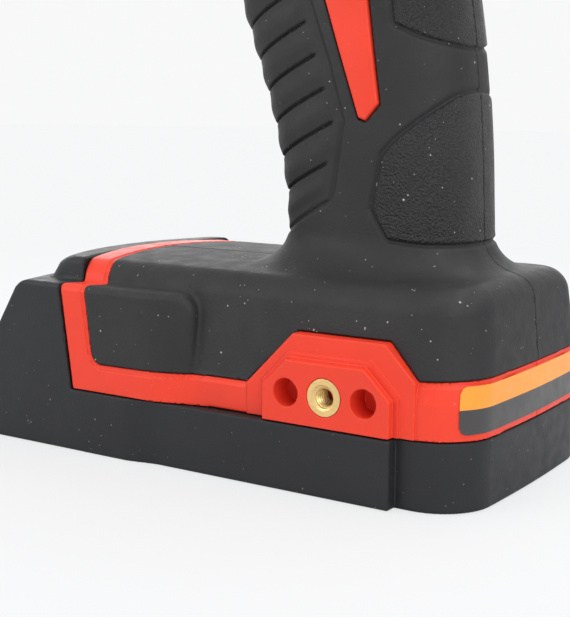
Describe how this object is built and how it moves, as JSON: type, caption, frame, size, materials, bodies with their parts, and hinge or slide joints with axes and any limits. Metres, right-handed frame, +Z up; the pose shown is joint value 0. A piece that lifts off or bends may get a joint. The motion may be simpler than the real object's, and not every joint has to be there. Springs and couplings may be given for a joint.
{
  "type": "cordless drill",
  "caption": "Pistol-grip cordless drill with a keyless chuck, two-speed planetary gearbox and slide-on battery pack.",
  "frame": {"origin": "middle of the length and width at the resting face of the pack", "axes": "+X along the chuck axis towards the chuck, +Y to the left of a person holding the tool, +Z up"},
  "size_m": [0.1856, 0.077, 0.2105],
  "materials": {
    "red_shell": "moulded satin",
    "black_overmould": "soft-touch matte",
    "black_plastic": "moulded matte",
    "dark_plastic": "moulded",
    "steel": "machined",
    "dark_steel": "blackened",
    "brass": "machined",
    "copper": "enamelled wire",
    "board": "solder mask",
    "cell_wrap": "shrink wrap",
    "alloy": "cast",
    "label": "blank foil",
    "lens": "clear",
    "wire": "insulation"
  },
  "bodies": {
    "tool": {"left_housing": "red_shell", "right_housing": "red_shell", "left_overmould": "black_overmould", "right_overmould": "black_overmould", "left_clip_insert": "brass", "right_clip_insert": "brass", "housing_screws": "steel", "rear_end_cap": "black_plastic", "blank_label": "label", "work_light_lens": "lens", "light_board": "board", "trigger_switch": "dark_plastic", "control_board": "board", "terminal_block": "dark_plastic", "terminal_blades": "brass", "wiring": "wire", "gearcase": "alloy", "ring_gear_1": "steel", "stator_core": "steel", "stator_windings": "copper", "motor_plate": "alloy", "motor_bearings": "steel", "spindle_bearing": "steel", "clutch_spring": "steel"},
    "trigger": {"trigger": "red_shell", "trigger_spring": "steel"},
    "direction_selector": {"direction_selector": "black_plastic"},
    "speed_selector": {"speed_selector": "black_plastic", "shift_fork": "steel", "ring_gear_2": "steel"},
    "clutch_collar": {"clutch_collar": "black_plastic"},
    "rotor": {"rotor_core": "steel", "motor_shaft": "steel", "cooling_fan": "dark_plastic", "motor_pinion": "steel"},
    "first_carrier": {"carrier_1": "steel"},
    "planet_1a": {"planet_1a": "steel"},
    "planet_1b": {"planet_1b": "steel"},
    "planet_1c": {"planet_1c": "steel"},
    "planet_2a": {"planet_2a": "steel"},
    "planet_2b": {"planet_2b": "steel"},
    "planet_2c": {"planet_2c": "steel"},
    "spindle": {"output_spindle": "steel", "chuck_body": "steel", "chuck_screw": "steel"},
    "chuck_sleeve": {"chuck_sleeve": "black_plastic", "chuck_nut": "steel"},
    "jaw_a": {"jaw_a": "dark_steel"},
    "jaw_b": {"jaw_b": "dark_steel"},
    "jaw_c": {"jaw_c": "dark_steel"},
    "battery_pack": {"pack_base": "black_plastic", "pack_cover": "black_plastic", "pack_cells": "cell_wrap", "pack_board": "board", "pack_contacts": "brass", "pack_screws": "steel", "gauge_window": "black_plastic"},
    "release_latch": {"release_latch": "black_plastic", "latch_spring": "steel"},
    "gauge_button": {"gauge_button": "dark_plastic"}
  },
  "joints": [
    {"name": "chuck_spin", "type": "hinge", "parent": "tool", "child": "spindle", "pos_m": [0, 0, 0.178], "axis": [1, 0, 0], "continuous": true},
    {"name": "sleeve_turn", "type": "hinge", "parent": "spindle", "child": "chuck_sleeve", "pos_m": [0, 0, 0.178], "axis": [1, 0, 0], "range_deg": [-1980, 2812.5]},
    {"name": "jaw_a_slide", "type": "slide", "parent": "spindle", "child": "jaw_a", "axis": [-0.9659, 0, -0.2588], "range_m": [-0.0088, 0.0125]},
    {"name": "jaw_b_slide", "type": "slide", "parent": "spindle", "child": "jaw_b", "axis": [-0.9659, 0.2241, 0.1294], "range_m": [-0.0088, 0.0125]},
    {"name": "jaw_c_slide", "type": "slide", "parent": "spindle", "child": "jaw_c", "axis": [-0.9659, -0.2241, 0.1294], "range_m": [-0.0088, 0.0125]},
    {"name": "first_carrier_spin", "type": "hinge", "parent": "tool", "child": "first_carrier", "pos_m": [0, 0, 0.178], "axis": [1, 0, 0], "continuous": true},
    {"name": "rotor_spin", "type": "hinge", "parent": "tool", "child": "rotor", "pos_m": [0, 0, 0.178], "axis": [1, 0, 0], "continuous": true},
    {"name": "planet_1a_spin", "type": "hinge", "parent": "first_carrier", "child": "planet_1a", "pos_m": [-0.019, 0, 0.16675], "axis": [1, 0, 0], "continuous": true},
    {"name": "planet_1b_spin", "type": "hinge", "parent": "first_carrier", "child": "planet_1b", "pos_m": [-0.019, 0.00974, 0.18363], "axis": [1, 0, 0], "continuous": true},
    {"name": "planet_1c_spin", "type": "hinge", "parent": "first_carrier", "child": "planet_1c", "pos_m": [-0.019, -0.00974, 0.18363], "axis": [1, 0, 0], "continuous": true},
    {"name": "planet_2a_spin", "type": "hinge", "parent": "spindle", "child": "planet_2a", "pos_m": [-0.006, 0, 0.16562], "axis": [1, 0, 0], "continuous": true},
    {"name": "planet_2b_spin", "type": "hinge", "parent": "spindle", "child": "planet_2b", "pos_m": [-0.006, 0.01072, 0.18419], "axis": [1, 0, 0], "continuous": true},
    {"name": "planet_2c_spin", "type": "hinge", "parent": "spindle", "child": "planet_2c", "pos_m": [-0.006, -0.01072, 0.18419], "axis": [1, 0, 0], "continuous": true},
    {"name": "clutch_turn", "type": "hinge", "parent": "tool", "child": "clutch_collar", "pos_m": [0, 0, 0.178], "axis": [1, 0, 0], "range_deg": [0, 300]},
    {"name": "speed_slide", "type": "slide", "parent": "tool", "child": "speed_selector", "axis": [1, 0, 0], "range_m": [-0.0045, 0]},
    {"name": "trigger_press", "type": "slide", "parent": "tool", "child": "trigger", "axis": [-1, 0, 0], "range_m": [0, 0.0065], "stiffness_N_per_m": 600, "springref_m": -0.004, "deforming": ["trigger_spring"]},
    {"name": "direction_slide", "type": "slide", "parent": "tool", "child": "direction_selector", "axis": [0, 1, 0], "range_m": [-0.003, 0.003]},
    {"name": "battery_slide", "type": "slide", "parent": "tool", "child": "battery_pack", "axis": [1, 0, 0], "range_m": [0, 0.11]},
    {"name": "latch_press", "type": "slide", "parent": "battery_pack", "child": "release_latch", "axis": [0, 0, -1], "range_m": [0, 0.0035], "stiffness_N_per_m": 900, "springref_m": -0.003, "deforming": ["latch_spring"]},
    {"name": "gauge_press", "type": "slide", "parent": "battery_pack", "child": "gauge_button", "axis": [-1, 0, 0], "range_m": [0, 0.0006], "stiffness_N_per_m": 800, "springref_m": -0.001}
  ],
  "couplings": [
    {"joint": "jaw_a_slide", "follows": "sleeve_turn", "m_per_rad": 0.00025465},
    {"joint": "jaw_b_slide", "follows": "sleeve_turn", "m_per_rad": 0.00025465},
    {"joint": "jaw_c_slide", "follows": "sleeve_turn", "m_per_rad": 0.00025465},
    {"joint": "first_carrier_spin", "follows": "chuck_spin", "ratio": 3.6667},
    {"joint": "rotor_spin", "follows": "chuck_spin", "ratio": 18.333},
    {"joint": "planet_1a_spin", "follows": "chuck_spin", "ratio": -9.7778},
    {"joint": "planet_2a_spin", "follows": "chuck_spin", "ratio": -3.2},
    {"joint": "planet_1b_spin", "follows": "chuck_spin", "ratio": -9.7778},
    {"joint": "planet_2b_spin", "follows": "chuck_spin", "ratio": -3.2},
    {"joint": "planet_1c_spin", "follows": "chuck_spin", "ratio": -9.7778},
    {"joint": "planet_2c_spin", "follows": "chuck_spin", "ratio": -3.2}
  ]
}
